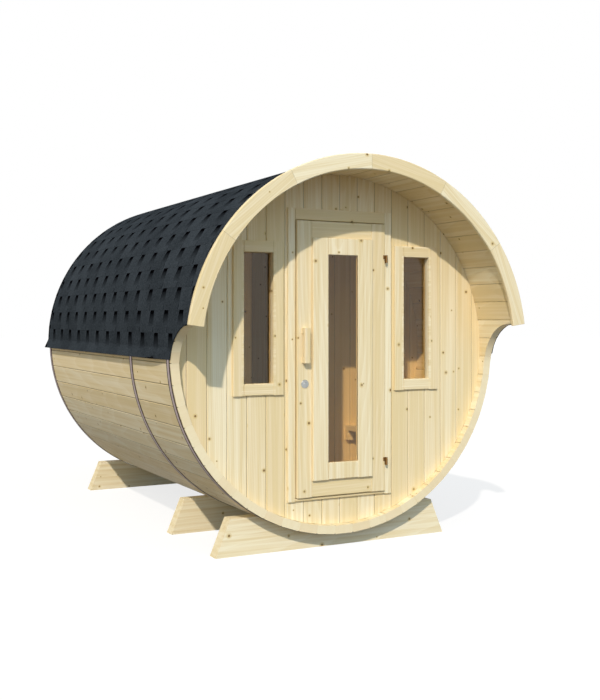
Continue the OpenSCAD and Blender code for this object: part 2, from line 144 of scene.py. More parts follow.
class WoodSizes(bpy.types.PropertyGroup):
    """Sizes and colours of the spruce."""

    pale: StringProperty(name="Pale wood", description="Early wood, as sRGB hex", default="f8eccc")
    deep: StringProperty(name="Deep wood", description="Late wood, as sRGB hex", default="e7d2a2")
    rosy: StringProperty(name="Rosy wood", description="Tint of some boards, as sRGB hex", default="f2dfbd")
    knot: StringProperty(name="Knot", description="Middle of a knot, as sRGB hex", default="68461e")
    halo: StringProperty(name="Knot halo", description="Wood round a knot, as sRGB hex", default="dabf80")
    ring: FloatProperty(name="Ring spacing", description="Distance between growth rings, drawn coarse",
                        default=0.007, unit="LENGTH")
    streak: FloatProperty(name="Streak width", description="Width of the tone streaks along a board",
                          default=0.020, unit="LENGTH")
    knot_cell: FloatProperty(name="Knot cell", description="Side of the square that may hold one knot",
                             default=0.115, unit="LENGTH")
    knot_share: FloatProperty(name="Knot share", description="Share of those squares with a knot",
                              default=0.30, min=0, max=1, subtype="FACTOR")
    knot_r: FloatProperty(name="Knot radius", description="Radius of an average knot",
                          default=0.0056, unit="LENGTH")
    groove: FloatProperty(name="Groove", description="Half the width of the dark line in a joint",
                          default=0.0022, unit="LENGTH")
    board: FloatProperty(name="Wall board", description="Width of a wall board",
                         default=0.112, unit="LENGTH")
    staves: IntProperty(name="Staves", description="Number of staves round the barrel", default=56)
    arch_boards: IntProperty(name="Arch boards", description="Number of boards in the arch", default=6)


class ShingleSizes(bpy.types.PropertyGroup):
    """Sizes and colours of the roof shingles."""

    grit: StringProperty(name="Grit", description="Mineral grit, as sRGB hex", default="23282d")
    grit_pale: StringProperty(name="Pale grit", description="Lighter grains, as sRGB hex", default="454c54")
    # The shadow band is painted shadow of the next course, fading out, partly a printed dark band
    shadow: StringProperty(name="Shadow band", description="Dark band under a course, as sRGB hex",
                           default="040406")
    exposure: FloatProperty(name="Exposure", description="Height of a course that shows",
                            default=0.118, unit="LENGTH")
    starter: FloatProperty(name="Starter", description="Height of the plain strip at the eave",
                           default=0.042, unit="LENGTH")
    first: FloatProperty(name="First course", description="Height of the first course above the eave",
                         default=0.020, unit="LENGTH")
    pitch: FloatProperty(name="Tab pitch", description="Distance from slot to slot",
                         default=0.2135, unit="LENGTH")
    slot: FloatProperty(name="Slot", description="Width of a slot under the next course",
                        default=0.058, unit="LENGTH")
    slant: FloatProperty(name="Slant", description="How far a slot widens to the front at its foot",
                         default=0.026, unit="LENGTH")
    slot_foot: FloatProperty(name="Slot foot", description="Height of the foot of a slot in its course",
                             default=0.30, min=0, max=1, subtype="FACTOR")
    slit: FloatProperty(name="Slit", description="Width of the slit from a slot down to the tabs' ends",
                        default=0.007, unit="LENGTH")
    slot_y: FloatProperty(name="First slot", description="Distance of a slot behind the front wall's face",
                          default=-0.053, unit="LENGTH")
    underlay: FloatProperty(name="Underlay", description="Thickness of the sheet under the shingles",
                            default=0.0015, unit="LENGTH")
    thickness: FloatProperty(name="Thickness", description="Thickness of a shingle",
                             default=0.0008, unit="LENGTH")
    cap_half: FloatProperty(name="Ridge cap", description="Half the width of the ridge cap",
                            default=0.105, unit="LENGTH")


class TrimSizes(bpy.types.PropertyGroup):
    """Colours of the glass and the metal, and the painted shade along the edges of the bands."""

    glass: StringProperty(name="Glass", description="Tint at each face of a pane, as sRGB hex",
                          default="fcf5e6")
    mirror: StringProperty(name="Mirror", description="Tint of what a pane mirrors, as sRGB hex",
                           default="f4ebe0")
    passing: StringProperty(name="Passing light", description="Tint of light behind a pane, as sRGB hex",
                            default="f5e8d0")
    band: StringProperty(name="Bands", description="Galvanised steel, as sRGB hex", default="cabdbb")
    band_rim: StringProperty(name="Bands askew", description="The same at a flat angle, as sRGB hex",
                             default="8a807c")
    # Painted shade along each edge of a band, where it stands proud of the staves
    band_edge_shade: FloatProperty(name="Band edge", description="Width of the dark edges of a band",
                             default=0.008, unit="LENGTH")
    hinge: StringProperty(name="Hinges", description="Brassed steel, as sRGB hex", default="927046")
    rosette: StringProperty(name="Rosette", description="Turned aluminium, as sRGB hex", default="b9bdbd")
    metal_rim: StringProperty(name="Metal askew", description="Other metal at a flat angle, as sRGB hex",
                              default="ffffff")


class StageSizes(bpy.types.PropertyGroup):
    """Camera, key lamp, soft light and floor."""

    camera_place: FloatVectorProperty(name="Camera", description="From the foot of the front wall's face",
                                      default=(-2.7288, -4.7463, 1.2468), unit="LENGTH")
    turn: FloatProperty(name="Turn", description="Turn of the camera to the right",
                        default=math.radians(27.6066), subtype="ANGLE")
    focal_px: FloatProperty(name="Focal length", description="In pixels of the image", default=997.9)
    horizon_px: FloatProperty(name="Horizon", description="Row of the horizon in the image", default=318.8)
    image_h: FloatProperty(name="Image height", description="In pixels", default=700)
    sun: FloatProperty(name="Sun", description="Strength of the key lamp", default=2.64)
    sun_colour: FloatVectorProperty(name="Sun colour", description="Colour of the key lamp",
                                    default=(1.0, 0.921, 0.82), subtype="COLOR")
    sun_angle: FloatProperty(name="Sun size", description="Width of the key lamp, seen from the sauna",
                             default=math.radians(1.2), subtype="ANGLE")
    sun_way: FloatVectorProperty(name="Sun way", description="The way that the key light travels",
                                 default=(0.709, 1.0, -0.949))
    fill: FloatVectorProperty(name="Fill", description="Soft light from all round",
                              default=(0.12, 0.12, 0.12), subtype="COLOR")
    front_fill: FloatVectorProperty(name="Front fill", description="Soft light added from the front",
                                    default=(0.50, 0.71, 0.92), subtype="COLOR")
    left_fill: FloatVectorProperty(name="Left fill", description="Soft light added from the left",
                                   default=(0.34, 0.30, 0.19), subtype="COLOR")
    floor: StringProperty(name="Floor", description="Colour that the floor casts back, as sRGB hex",
                          default="716d6a")
    floor_glow: FloatProperty(name="Floor glow", description="Share of white that a seen floor always has",
                              default=0.78, min=0, max=1, subtype="FACTOR")
    floor_shade: StringProperty(name="Floor shade", description="What a seen floor adds in the light",
                                default="909090")
    floor_r: FloatProperty(name="Floor radius", description="Radius of the floor",
                           default=60, unit="LENGTH")


def spruce_group(wood):
    """Node group for planed spruce: it takes a place along, across and into a board, the board's
    number, and how far a face is sawn across the grain, and gives colour and height. Rings lie
    round a pith below the board, so a face shows long lines and arches, and an end is plain."""
    tree = bpy.data.node_groups.new("spruce grain", "ShaderNodeTree")
    tree.interface.new_socket("Place", in_out="INPUT", socket_type="NodeSocketVector")
    tree.interface.new_socket("Board", in_out="INPUT", socket_type="NodeSocketFloat")
    tree.interface.new_socket("Sawn", in_out="INPUT", socket_type="NodeSocketFloat")
    tree.interface.new_socket("Color", in_out="OUTPUT", socket_type="NodeSocketColor")
    tree.interface.new_socket("Height", in_out="OUTPUT", socket_type="NodeSocketFloat")
    source = tree.nodes.new("NodeGroupInput")
    place = source.outputs["Place"]
    board = source.outputs["Board"]
    draw = add_node(tree, "ShaderNodeTexWhiteNoise", {"W": board}, noise_dimensions="1D").node
    tone = draw.outputs["Value"]
    chance = draw.outputs["Color"]

    # Each board is cut from another place in the wood
    shift = add_node(tree, "ShaderNodeVectorMath", {0: chance, 1: (37.0, 5.0, 5.0)},
                     operation="MULTIPLY")
    moved = add_node(tree, "ShaderNodeVectorMath", {0: place, 1: shift}, operation="ADD")
    slow = add_node(tree, "ShaderNodeVectorMath", {0: moved, 1: (1.1, 5.0, 5.0)}, operation="MULTIPLY")
    wander = add_node(tree, "ShaderNodeTexNoise", {"Vector": slow, "Scale": 1.0, "Detail": 2.0},
                      out="Color")
    wander = add_node(tree, "ShaderNodeVectorMath", {0: wander, 1: (0.0, 0.022, 0.022)},
                      operation="MULTIPLY")

    # Knots: one at most in each cell of a grid over the board's face
    cell = 1 / wood.knot_cell
    flat = add_node(tree, "ShaderNodeVectorMath", {0: moved, 1: (cell, cell, 0.0)}, operation="MULTIPLY")
    knots = add_node(tree, "ShaderNodeTexVoronoi", {"Vector": flat, "Scale": 1.0},
                     voronoi_dimensions="2D").node
    lots = add_node(tree, "ShaderNodeSeparateColor", {0: knots.outputs["Color"]}).node
    lot, size, strength = lots.outputs
    has_knot = add_node(tree, "ShaderNodeMath", {0: lot, 1: wood.knot_share}, operation="LESS_THAN")
    radius = add_node(tree, "ShaderNodeMapRange",
                      {0: size, 3: 0.5 * wood.knot_r * cell, 4: 1.35 * wood.knot_r * cell})
    reach = add_node(tree, "ShaderNodeMath", {0: knots.outputs["Distance"], 1: radius},
                     operation="DIVIDE")
    core = add_node(tree, "ShaderNodeMapRange", {0: reach, 1: 1.15, 2: 0.6},
                    interpolation_type="SMOOTHSTEP")
    strength = add_node(tree, "ShaderNodeMapRange", {0: strength, 3: 0.6, 4: 1.0})
    strength = add_node(tree, "ShaderNodeMath", {0: strength, 1: has_knot}, operation="MULTIPLY")
    core = add_node(tree, "ShaderNodeMath", {0: core, 1: strength}, operation="MULTIPLY")
    halo = add_node(tree, "ShaderNodeMapRange", {0: reach, 1: 2.8, 2: 0.9},
                    interpolation_type="SMOOTHSTEP")
    halo = add_node(tree, "ShaderNodeMath", {0: halo, 1: has_knot}, operation="MULTIPLY")

    # Growth rings round a pith that lies off the board's middle and runs askew
    middle = add_node(tree, "ShaderNodeVectorMath",
                      {0: chance, 1: (0.0, 0.12, 0.07), 2: (0.0, -0.06, 0.05)},
                      operation="MULTIPLY_ADD")
    along = add_node(tree, "ShaderNodeSeparateXYZ", {0: place})
    askew = add_node(tree, "ShaderNodeMath", {0: along, 1: 0.018}, operation="MULTIPLY")
    askew = add_node(tree, "ShaderNodeCombineXYZ", {2: askew})
    across = add_node(tree, "ShaderNodeVectorMath", {0: place, 1: (0.0, 1.0, 1.0)}, operation="MULTIPLY")
    for bend in (middle, wander, askew):
        across = add_node(tree, "ShaderNodeVectorMath", {0: across, 1: bend}, operation="ADD")
    far = add_node(tree, "ShaderNodeVectorMath", {0: across}, out="Value", operation="LENGTH")
    far = add_node(tree, "ShaderNodeMath", {0: halo, 1: 0.006, 2: far}, operation="MULTIPLY_ADD")
    turns = add_node(tree, "ShaderNodeMath", {0: far, 1: 1 / wood.ring}, operation="MULTIPLY")
    turns = add_node(tree, "ShaderNodeMath", {0: turns}, operation="FRACT")
    rings = add_node(tree, "ShaderNodeFloatCurve", {1: turns})
    curve = rings.node.mapping.curves[0]
    for x, y in ((0.0, 0.0), (0.55, 0.12), (0.9, 1.0), (1.0, 0.0)):
        if x in (0.0, 1.0):
            curve.points[int(x)].location = (x, y)
        else:
            curve.points.new(x, y)
    rings.node.mapping.update()

    # Broad streaks along the board, and its own tone
    stretch = add_node(tree, "ShaderNodeVectorMath",
                       {0: moved, 1: (0.9, 1 / wood.streak, 0.25 / wood.streak)}, operation="MULTIPLY")
    streaks = add_node(tree, "ShaderNodeTexNoise",
                       {"Vector": stretch, "Scale": 1.0, "Detail": 3.0, "Roughness": 0.6})
    share = add_node(tree, "ShaderNodeMapRange", {0: streaks, 1: 0.34, 2: 0.70})
    share = add_node(tree, "ShaderNodeMath", {0: rings, 1: 0.36, 2: share}, operation="MULTIPLY_ADD")
    own = add_node(tree, "ShaderNodeMapRange", {0: tone, 3: -0.36, 4: 0.26})
    share = add_node(tree, "ShaderNodeMath", {0: share, 1: own}, operation="ADD", use_clamp=True)
    even = add_node(tree, "ShaderNodeMath", {0: source.outputs["Sawn"], 1: 0.8}, operation="MULTIPLY")
    share = add_node(tree, "ShaderNodeMix", {0: even, 2: share, 3: 0.35})
    rosy = add_node(tree, "ShaderNodeSeparateColor", {0: chance})
    early = add_node(tree, "ShaderNodeMix", {0: rosy, 6: linear(wood.pale), 7: linear(wood.rosy)},
                     out=2, data_type="RGBA")
    colour = add_node(tree, "ShaderNodeMix", {0: share, 6: early, 7: linear(wood.deep)},
                      out=2, data_type="RGBA")
    halo_part = add_node(tree, "ShaderNodeMath", {0: halo, 1: 0.75}, operation="MULTIPLY")
    colour = add_node(tree, "ShaderNodeMix", {0: halo_part, 6: colour, 7: linear(wood.halo)},
                      out=2, data_type="RGBA")
    colour = add_node(tree, "ShaderNodeMix", {0: core, 6: colour, 7: linear(wood.knot)},
                      out=2, data_type="RGBA")
    height = add_node(tree, "ShaderNodeMath", {0: rings, 1: -0.35, 2: streaks}, operation="MULTIPLY_ADD")
    end = tree.nodes.new("NodeGroupOutput")
    tree.links.new(colour, end.inputs["Color"])
    tree.links.new(height, end.inputs["Height"])
    return tree


def planed_spruce(name, group, lay, groove=0.0, depth=0.45, sawn_axis=None):
    """Planed, untreated spruce: pale and silky, with a dull sheen along the grain. lay builds
    the place in the board, the board's number and the distance from its edge, near which a
    groove of some half width keeps the share depth of the colour. Faces along sawn_axis are
    sawn ends."""
    material = new_material(name)
    tree = material.node_tree
    place, board, edge = lay(tree)
    grain = tree.nodes.new("ShaderNodeGroup")
    grain.node_tree = group
    tree.links.new(place, grain.inputs["Place"])
    tree.links.new(board, grain.inputs["Board"])
    if sawn_axis:
        facing = add_node(tree, "ShaderNodeNewGeometry", out="True Normal")
        facing = add_node(tree, "ShaderNodeSeparateXYZ", {0: facing}, out="XYZ".index(sawn_axis))
        facing = add_node(tree, "ShaderNodeMath", {0: facing}, operation="ABSOLUTE")
        sawn = add_node(tree, "ShaderNodeMapRange", {0: facing, 1: 0.4, 2: 0.8})
        tree.links.new(sawn, grain.inputs["Sawn"])
    colour = grain.outputs["Color"]
    if groove:
        open_share = add_node(tree, "ShaderNodeMapRange",
                              {0: edge, 1: 0.6 * groove, 2: 1.4 * groove, 3: depth, 4: 1.0})
        colour = add_node(tree, "ShaderNodeMix", {0: 1.0, 6: colour, 7: open_share}, out=2,
                          data_type="RGBA", blend_type="MULTIPLY")
    bump = add_node(tree, "ShaderNodeBump",
                    {"Height": grain.outputs["Height"], "Strength": 0.18, "Distance": 0.002})
    surface = add_node(tree, "ShaderNodeBsdfPrincipled",
                       {"Base Color": colour, "Normal": bump, "Roughness": 0.62,
                        "Specular IOR Level": 0.25, "IOR": 1.5})
    add_node(tree, "ShaderNodeOutputMaterial", {"Surface": surface})
    return material


def straight(order, width, offset=0.0, number=0.0):
    """Lays boards side by side: order names the axes along, across and into them."""
    def lay(tree):
        place = add_node(tree, "ShaderNodeTexCoord", out="Object")
        split = add_node(tree, "ShaderNodeSeparateXYZ", {0: place}).node
        along, across, into = (split.outputs["XYZ".index(axis)] for axis in order)
        place = add_node(tree, "ShaderNodeCombineXYZ", {0: along, 1: across, 2: into})
        count = add_node(tree, "ShaderNodeMath", {0: across, 1: offset}, operation="SUBTRACT")
        edge = add_node(tree, "ShaderNodeMath", {0: count, 1: width / 2}, operation="PINGPONG")
        count = add_node(tree, "ShaderNodeMath", {0: count, 1: 1 / width}, operation="MULTIPLY")
        count = add_node(tree, "ShaderNodeMath", {0: count}, operation="FLOOR")
        count = add_node(tree, "ShaderNodeMath", {0: count, 1: number}, operation="ADD")
        return place, count, edge
    return lay


def round_barrel(step, start, grain_round, number=0.0):
    """Lays boards round the barrel's axis, each turned to its own angle. The grain of an arch
    board runs across the radius, and the grain of a stave along the axis."""
    def lay(tree):
        place = add_node(tree, "ShaderNodeTexCoord", out="Object")
        place = add_node(tree, "ShaderNodeVectorMath", {0: place, 1: (0.0, 0.0, AXIS_Z)},
                         operation="SUBTRACT")
        split = add_node(tree, "ShaderNodeSeparateXYZ", {0: place}).node
        angle = add_node(tree, "ShaderNodeMath", {0: split.outputs[2], 1: split.outputs[0]},
                         operation="ARCTAN2")
        count = add_node(tree, "ShaderNodeMath", {0: angle, 1: start}, operation="SUBTRACT")
        edge = add_node(tree, "ShaderNodeMath", {0: count, 1: step / 2}, operation="PINGPONG")
        edge = add_node(tree, "ShaderNodeMath", {0: edge, 1: BAND_R}, operation="MULTIPLY")
        count = add_node(tree, "ShaderNodeMath", {0: count, 1: 1 / step}, operation="MULTIPLY")
        count = add_node(tree, "ShaderNodeMath", {0: count}, operation="FLOOR")
        turn = add_node(tree, "ShaderNodeMath", {0: count, 1: step, 2: start + step / 2},
                        operation="MULTIPLY_ADD")
        turned = add_node(tree, "ShaderNodeVectorRotate", {"Vector": place, "Angle": turn},
                          rotation_type="Y_AXIS")
        split = add_node(tree, "ShaderNodeSeparateXYZ", {0: turned}).node
        radial, axial, tangent = split.outputs
        order = (tangent, radial, axial)
        if not grain_round:
            order = (axial, tangent, radial)
            under = add_node(tree, "ShaderNodeMath", {0: JOINT_OUT, 1: radial}, operation="SUBTRACT")
            over = add_node(tree, "ShaderNodeMath", {0: radial, 1: JOINT_IN}, operation="SUBTRACT")
            closed = add_node(tree, "ShaderNodeMath", {0: under, 1: over}, operation="MINIMUM")
            edge = add_node(tree, "ShaderNodeMath", {0: edge, 1: closed}, operation="MAXIMUM")
        place = add_node(tree, "ShaderNodeCombineXYZ", dict(enumerate(order)))
        count = add_node(tree, "ShaderNodeMath", {0: count, 1: number}, operation="ADD")
        return place, count, edge
    return lay


def framed(middle, half, number=0.0):
    """Lays a frame: level boards between the uprights, which stand half from the middle."""
    def lay(tree):
        upright = straight("ZXY", 1.0, middle, number)(tree)
        level = straight("XZY", 0.7, 0.0, number + 7)(tree)
        place = add_node(tree, "ShaderNodeTexCoord", out="Object")
        side = add_node(tree, "ShaderNodeSeparateXYZ", {0: place})
        side = add_node(tree, "ShaderNodeMath", {0: side, 1: middle}, operation="SUBTRACT")
        side = add_node(tree, "ShaderNodeMath", {0: side}, operation="ABSOLUTE")
        is_level = add_node(tree, "ShaderNodeMath", {0: side, 1: half}, operation="LESS_THAN")
        place = add_node(tree, "ShaderNodeMix", {0: is_level, 4: upright[0], 5: level[0]},
                         out=1, data_type="VECTOR")
        count = add_node(tree, "ShaderNodeMix", {0: is_level, 2: upright[1], 3: level[1]})
        edge = add_node(tree, "ShaderNodeMath", {0: side, 1: half}, operation="SUBTRACT")
        edge = add_node(tree, "ShaderNodeMath", {0: edge}, operation="ABSOLUTE")
        return place, count, edge
    return lay


class SAUNA_OT_barrel(bpy.types.Operator):
    """Spruce for the staves, the arch, the laths and the cradles"""

    bl_idname = "sauna.barrel"
    bl_label = "Barrel"

    def execute(self, context):
        wood = context.scene.sauna_wood
        group = spruce_group(wood)
        step = 2 * math.pi / wood.staves
        staves = planed_spruce("planed spruce staves", group, round_barrel(step, -step / 2, False),
                               wood.groove, sawn_axis="Y")
        dress(staves, "bottom_staves", "left_side_staves", "right_side_staves", "left_cut_staves",
              "right_cut_staves", "left_roof_staves", "right_roof_staves", "ridge_stave")
        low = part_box("front_arch")[0].z - AXIS_Z
        start = math.asin(low / (ROOF_R - ARCH_MIDDLE))
        arch_step = (math.pi - 2 * start) / wood.arch_boards
        dress(planed_spruce("planed spruce arch", group, round_barrel(arch_step, start, True, 100),
                            wood.groove / 2, 0.72), "front_arch")
        dress(planed_spruce("planed spruce laths", group, straight("YZX", 1.0, 0.0, 140)),
              "left_eave_lath", "right_eave_lath")
        # Numbers of three pale boards
        for name, number in (("cradle_front", 155), ("cradle_middle", 182), ("cradle_rear", 160)):
            dress(planed_spruce(f"planed spruce {name}", group, straight("XZY", 1.0, 0.0, number)), name)
        return {"FINISHED"}


class SAUNA_OT_walls(bpy.types.Operator):
    """Spruce for the walls, floor and bench"""

    bl_idname = "sauna.walls"
    bl_label = "Walls, floor and bench"

    def execute(self, context):
        wood = context.scene.sauna_wood
        group = bpy.data.node_groups["spruce grain"]
        dress(planed_spruce("planed spruce front wall", group, straight("ZXY", wood.board, 0.0, 200),
                            wood.groove / 2),
              "front_wall_left", "front_wall_right", "front_wall_over_door", "front_wall_under_door")
        dress(planed_spruce("planed spruce partition", group, straight("ZXY", wood.board, 0.0, 240),
                            wood.groove / 2),
              "partition_left", "partition_right", "partition_over_doorway", "partition_under_doorway")
        dress(planed_spruce("planed spruce rear wall", group, straight("ZXY", wood.board, 0.0, 280),
                            wood.groove / 2),
              "rear_wall")
        low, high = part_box("floor_boards")
        dress(planed_spruce("planed spruce floor", group,
                            straight("YXZ", (high.x - low.x) / 10, low.x, 320)), "floor_boards")
        low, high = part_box("bench_seat")
        dress(planed_spruce("planed spruce bench", group,
                            straight("YXZ", (high.x - low.x) / 4, low.x, 340)), "bench_seat")
        dress(planed_spruce("planed spruce bearers", group, straight("XZY", 1.0, 0.0, 350)),
              "floor_bearers", "bench_cleats")
        return {"FINISHED"}


class SAUNA_OT_joinery(bpy.types.Operator):
    """Spruce for the door, its casing and the window casings"""

    bl_idname = "sauna.joinery"
    bl_label = "Door and casings"

    def execute(self, context):
        group = bpy.data.node_groups["spruce grain"]
        dress(planed_spruce("planed spruce door casing", group, framed(0.0, CASING_HALF, 400)),
              "door_casing")
        panel_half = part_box("door_panel")[1].x
        dress(planed_spruce("planed spruce door frame", group, framed(0.0, panel_half, 420)),
              "door_frame")
        dress(planed_spruce("planed spruce door panel", group,
                            straight("ZXY", panel_half / 2, 0.0, 440)), "door_panel")
        dress(planed_spruce("planed spruce handle", group, straight("ZXY", 1.0, 0.0, 460)),
              "door_handle")
        for i, side in enumerate(("left", "right")):
            low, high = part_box(f"{side}_window_glass")
            middle = (low.x + high.x) / 2
            glass_half = (high.x - low.x) / 2
            low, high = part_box(f"{side}_window_lining")
            dress(planed_spruce(f"planed spruce {side} lining", group,
                                framed(middle, glass_half, 480 + 20 * i)), f"{side}_window_lining")
            dress(planed_spruce(f"planed spruce {side} casing", group,
                                framed(middle, (high.x - low.x) / 2, 520 + 20 * i)),
                  f"{side}_window_casing")
        return {"FINISHED"}


def bronze_glass(trim):
    """Bronze-tinted float glass: smooth, with a clear mirror edge, and darker than the room.
    Light from lamps and from the sky passes straight through it, with the same tint."""
    material = new_material("bronze float glass")
    tree = material.node_tree
    pane = add_node(tree, "ShaderNodeBsdfPrincipled",
                    {"Base Color": linear(trim.glass), "Roughness": 0.0, "IOR": 1.5,
                     "Specular Tint": linear(trim.mirror), "Transmission Weight": 1.0})
    passing = add_node(tree, "ShaderNodeBsdfTransparent", {"Color": linear(trim.passing)})
    path = tree.nodes.new("ShaderNodeLightPath")
    straight_on = add_node(tree, "ShaderNodeMath",
                           {0: path.outputs["Is Shadow Ray"], 1: path.outputs["Is Diffuse Ray"]},
                           operation="MAXIMUM")
    surface = add_node(tree, "ShaderNodeMixShader", {0: straight_on, 1: pane, 2: passing})
    add_node(tree, "ShaderNodeOutputMaterial", {"Surface": surface})
    return material


class SAUNA_OT_glass(bpy.types.Operator):
    """Tinted glass for the door and the windows"""

    bl_idname = "sauna.glass"
    bl_label = "Glass"

    def execute(self, context):
        glass = bronze_glass(context.scene.sauna_trim)
        dress(glass, "door_glass", "left_window_glass", "right_window_glass")
        return {"FINISHED"}


def rolled_metal(name, colour, rim, roughness, spread, grain_mm, edges=None):
    """Bare rolled or turned metal: an even sheen of one colour, which turns to the rim colour at a
    flat angle, with faint marks of grain_mm, by which the roughness spreads. A band also has painted
    shade along its edges: edges gives its middle along Y, half its width and the width of the shaded lines."""
    material = new_material(name)
    tree = material.node_tree
    place = add_node(tree, "ShaderNodeTexCoord", out="Object")
    marks = add_node(tree, "ShaderNodeTexNoise",
                     {"Vector": place, "Scale": 1000 / grain_mm, "Detail": 3.0})
    rough = add_node(tree, "ShaderNodeMapRange", {0: marks, 3: roughness - spread, 4: roughness + spread})
    tone = add_node(tree, "ShaderNodeMapRange", {0: marks, 3: 0.82, 4: 1.0})
    if edges:
        middle, half, line = edges
        side = add_node(tree, "ShaderNodeSeparateXYZ", {0: place}, out=1)
        side = add_node(tree, "ShaderNodeMath", {0: side, 1: middle}, operation="SUBTRACT")
        side = add_node(tree, "ShaderNodeMath", {0: side}, operation="ABSOLUTE")
        # Painted shade along both edges of the band
        clear = add_node(tree, "ShaderNodeMapRange",
                         {0: side, 1: half - 1.2 * line, 2: half - 0.8 * line, 3: 1.0, 4: 0.08})
        tone = add_node(tree, "ShaderNodeMath", {0: tone, 1: clear}, operation="MULTIPLY")
    shaded = add_node(tree, "ShaderNodeMix", {0: 1.0, 6: linear(colour), 7: tone}, out=2,
                      data_type="RGBA", blend_type="MULTIPLY")
    surface = add_node(tree, "ShaderNodeBsdfPrincipled",
                       {"Base Color": shaded, "Metallic": 1.0, "Roughness": rough,
                        "Specular Tint": linear(rim)})
    add_node(tree, "ShaderNodeOutputMaterial", {"Surface": surface})
    return material


class SAUNA_OT_metal(bpy.types.Operator):
    """Metal for the bands, the hinges and the rosette"""

    bl_idname = "sauna.metal"
    bl_label = "Metal"

    def execute(self, context):
        trim = context.scene.sauna_trim
        for name in ("band_front", "band_middle_ring", "band_rear"):
            low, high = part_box(name)
            edges = ((low.y + high.y) / 2, (high.y - low.y) / 2, trim.band_edge_shade)
            dress(rolled_metal(f"galvanised steel {name}", trim.band, trim.band_rim, 0.38, 0.06, 30, edges),
                  name)
        dress(rolled_metal("brassed steel hinges", trim.hinge, trim.metal_rim, 0.35, 0.06, 8),
              "hinge_fixed_halves", "hinge_door_halves")
        dress(rolled_metal("turned aluminium rosette", trim.rosette, trim.metal_rim, 0.3, 0.05, 5),
              "door_rosette")
        return {"FINISHED"}


def bitumen_shingle(sizes):
    """Bitumen shingle with mineral grit: matt, nearly black, speckled, and black where a
    course lies in the shadow of the next. Real grit is about 1 mm and is drawn 9 mm, so
    that it shows."""
    material = new_material("bitumen shingle with mineral grit")
    tree = material.node_tree
    place = add_node(tree, "ShaderNodeTexCoord", out="Object")
    grain = add_node(tree, "ShaderNodeTexNoise",
                     {"Vector": place, "Scale": 1 / 0.009, "Detail": 2.0, "Roughness": 0.7})
    blotch = add_node(tree, "ShaderNodeTexNoise", {"Vector": place, "Scale": 1 / 0.16, "Detail": 2.0})
    pick = add_node(tree, "ShaderNodeMath", {0: blotch, 1: 0.35, 2: grain}, operation="MULTIPLY_ADD")
    own = add_node(tree, "ShaderNodeAttribute", out="Fac", attribute_name="own_tone")
    pick = add_node(tree, "ShaderNodeMath", {0: own, 1: 0.14, 2: pick}, operation="MULTIPLY_ADD")
    pick = add_node(tree, "ShaderNodeMapRange", {0: pick, 1: 0.45, 2: 1.05})
    colour = add_node(tree, "ShaderNodeMix",
                      {0: pick, 6: linear(sizes.grit), 7: linear(sizes.grit_pale)},
                      out=2, data_type="RGBA")
    # Painted shadow in the slots, partly a printed dark band, as each point of the mesh holds it
    band = add_node(tree, "ShaderNodeAttribute", out="Fac", attribute_name="shadow_band")
    colour = add_node(tree, "ShaderNodeMix", {0: band, 6: colour, 7: linear(sizes.shadow)},
                      out=2, data_type="RGBA")
    bump = add_node(tree, "ShaderNodeBump", {"Height": grain, "Strength": 0.5, "Distance": 0.001})
    surface = add_node(tree, "ShaderNodeBsdfPrincipled",
                       {"Base Color": colour, "Normal": bump, "Roughness": 0.92,
                        "Specular IOR Level": 0.0})
    add_node(tree, "ShaderNodeOutputMaterial", {"Surface": surface})
    return material


class RoofPath:
    """The line that the shingles follow, from the eave up to the ridge, in X and Z."""

    def __init__(self):
        self.base = BAND_R + BAND_GAP
        thick = ROOF_R - BAND_R
        self.eave = Vector((EAVE_X - thick, EAVE_Z - AXIS_Z))
        self.kick = Vector((math.sqrt(self.base ** 2 - KICK_Z ** 2), KICK_Z))
        self.kick_l = (self.kick - self.eave).length
        self.start = math.asin(KICK_Z / self.base)
        self.length = self.kick_l + (math.pi / 2 - self.start) * self.base

    def at(self, s, lift, y):
        """The point at a length above the eave and a place along Y, lifted outwards. The kick of
        the eave dies out towards the porch."""
        if s < self.kick_l:
            way = (self.kick - self.eave) / self.kick_l
            point = self.eave + way * s + Vector((way.y, -way.x)) * lift
            share = min(1.0, max(0.0, (y - KICK_START) / (KICK_FULL - KICK_START)))
            point.x = min(point.x, self.base + lift + share * (self.eave.x - self.base))
            return point
        angle = self.start + (s - self.kick_l) / self.base
        return Vector((math.cos(angle), math.sin(angle))) * (self.base + lift)


def porch_front(z):
    """Where the roof starts at a height above the barrel's axis: at the arch, or on the cut."""
    if z >= CUT_Z + CUT_R:
        return PORCH_Y + SEAT
    return RIM_Y - CUT_R + math.sqrt(CUT_R ** 2 - max(0.0, z - CUT_Z) ** 2) + SEAT


